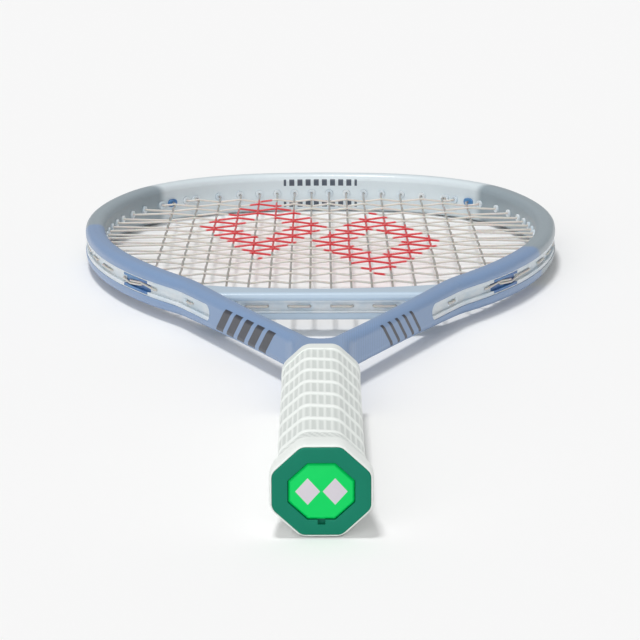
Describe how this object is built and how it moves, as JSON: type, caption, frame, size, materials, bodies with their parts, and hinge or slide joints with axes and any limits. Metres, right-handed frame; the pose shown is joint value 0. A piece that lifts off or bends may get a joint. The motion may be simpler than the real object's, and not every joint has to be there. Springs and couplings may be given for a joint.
{
  "type": "tennis racket",
  "caption": "Strung tennis racket with an open throat, grommet strips, wrapped octagonal handle and a butt cap with a slide-out door.",
  "frame": {"origin": "centre of the bounding box's bottom; the lowest point is the butt cap's flare", "axes": "+Y from the butt to the tip along the racket, +Z square to the string bed, +X to the right seen from behind the butt"},
  "size_m": [0.2662, 0.685, 0.0366],
  "materials": {
    "frame_paint": "satin paint over carbon fibre laminate, blue-grey",
    "bridge_paint": "satin paint over carbon fibre laminate, light blue",
    "grommet_plastic": "translucent pale nylon",
    "insert_plastic": "translucent deep blue nylon",
    "string": "natural multifilament with a red stencil",
    "handle_foam": "rigid polyurethane foam",
    "cap_plastic": "moulded dark green",
    "door_plastic": "moulded bright green",
    "staple_steel": "zinc plated wire",
    "grip_leather": "white embossed polyurethane tape",
    "finishing_tape": "white adhesive vinyl tape"
  },
  "bodies": {
    "racket": {"frame_hairpin": "frame_paint", "throat_bridge": "bridge_paint", "head_bumper_guard": "grommet_plastic", "bridge_grommet_strip": "grommet_plastic", "grommet_strip_left": "grommet_plastic", "grommet_strip_right": "grommet_plastic", "upper_corner_insert_left": "insert_plastic", "upper_corner_insert_right": "insert_plastic", "lower_corner_insert_left": "insert_plastic", "lower_corner_insert_right": "insert_plastic", "main_strings": "string", "cross_strings": "string", "main_string_returns": "string", "cross_string_returns": "string", "handle_pallet": "handle_foam", "butt_cap": "cap_plastic", "butt_cap_staples": "staple_steel", "grip_wrap": "grip_leather", "grip_finishing_tape": "finishing_tape"},
    "door": {"butt_door": "door_plastic"}
  },
  "joints": [
    {"name": "butt_door_slide", "type": "slide", "parent": "racket", "child": "door", "axis": [0, -1, 0], "range_m": [0, 0.012]}
  ]
}
